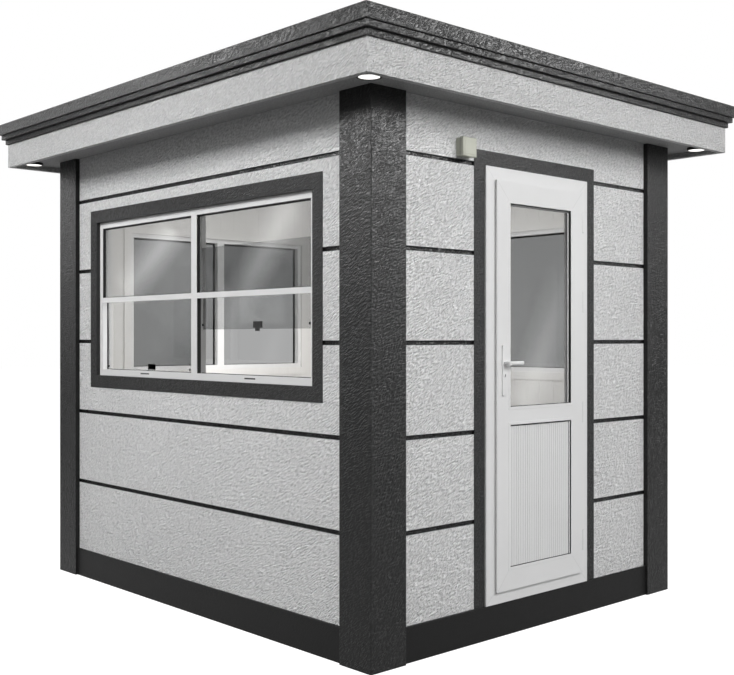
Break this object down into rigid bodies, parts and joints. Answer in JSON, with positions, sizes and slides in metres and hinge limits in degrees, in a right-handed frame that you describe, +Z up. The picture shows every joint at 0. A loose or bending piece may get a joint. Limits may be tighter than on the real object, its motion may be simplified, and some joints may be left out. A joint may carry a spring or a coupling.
{
  "type": "security guard booth",
  "caption": "Flat-roofed guard booth of grooved grey panels between dark corner posts, with a glazed hinged door, windows with a raised sliding sash, and lit eaves",
  "frame": {"origin": "on the ground, under the centre of the plan", "axes": "+X to the right along the door wall as seen from outside, +Y from the door wall to the back, +Z up"},
  "size_m": [2.654, 3.204, 2.589],
  "materials": {
    "grey_cladding": "embossed light grey fibre-cement panel",
    "charcoal_trim": "embossed charcoal paint",
    "white_pvc": "satin white PVC",
    "clear_glass": "clear, faintly grey",
    "black_plastic": "black",
    "lamp_lens": "lit diffuser",
    "beige_plastic": "moulded",
    "pale_lining": "ribbed lining board",
    "floor_board": "grey sheet-covered board",
    "roof_sheet": "sheet roof"
  },
  "bodies": {
    "booth": {"floor_panel": "floor_board", "end_plinths": "charcoal_trim", "side_plinths": "charcoal_trim", "front_left_post": "charcoal_trim", "front_right_post": "charcoal_trim", "back_right_post": "charcoal_trim", "back_left_post": "charcoal_trim", "front_wall_left": "grey_cladding", "front_wall_right": "grey_cladding", "front_wall_over_door": "grey_cladding", "door_trim": "charcoal_trim", "left_wall": "grey_cladding", "left_window_trim": "charcoal_trim", "left_window_frame": "white_pvc", "left_window_glass": "clear_glass", "right_wall": "grey_cladding", "right_window_trim": "charcoal_trim", "right_window_frame": "white_pvc", "right_window_glass": "clear_glass", "back_wall": "grey_cladding", "back_window_trim": "charcoal_trim", "back_window_frame": "white_pvc", "back_window_glass": "clear_glass", "left_window_sashes": "clear_glass", "left_window_latches": "black_plastic", "door_frame": "white_pvc", "frame_hinge_halves": "white_pvc", "junction_box": "beige_plastic", "junction_box_cover": "beige_plastic", "side_soffits": "pale_lining", "end_soffits": "pale_lining", "downlight_rings": "black_plastic", "downlight_lenses": "lamp_lens", "end_fascias": "grey_cladding", "side_fascias": "grey_cladding", "end_cornices": "charcoal_trim", "side_cornices": "charcoal_trim", "ceiling_panel": "pale_lining", "roof_deck": "roof_sheet"},
    "door": {"door_leaf": "white_pvc", "door_glass": "clear_glass", "door_panel": "white_pvc", "leaf_hinge_halves": "white_pvc", "handle_plate": "white_pvc"},
    "handle": {"lever_handle": "white_pvc"}
  },
  "joints": [
    {"name": "door_swing", "type": "hinge", "parent": "booth", "child": "door", "pos_m": [0.325, -1.345, 0], "axis": [0, 0, 1], "range_deg": [0, 100]},
    {"name": "handle_turn", "type": "hinge", "parent": "door", "child": "handle", "pos_m": [-0.268, -1.352, 1.235], "axis": [0, 1, 0], "range_deg": [0, 45], "stiffness_Nm_per_rad": 1.5}
  ]
}
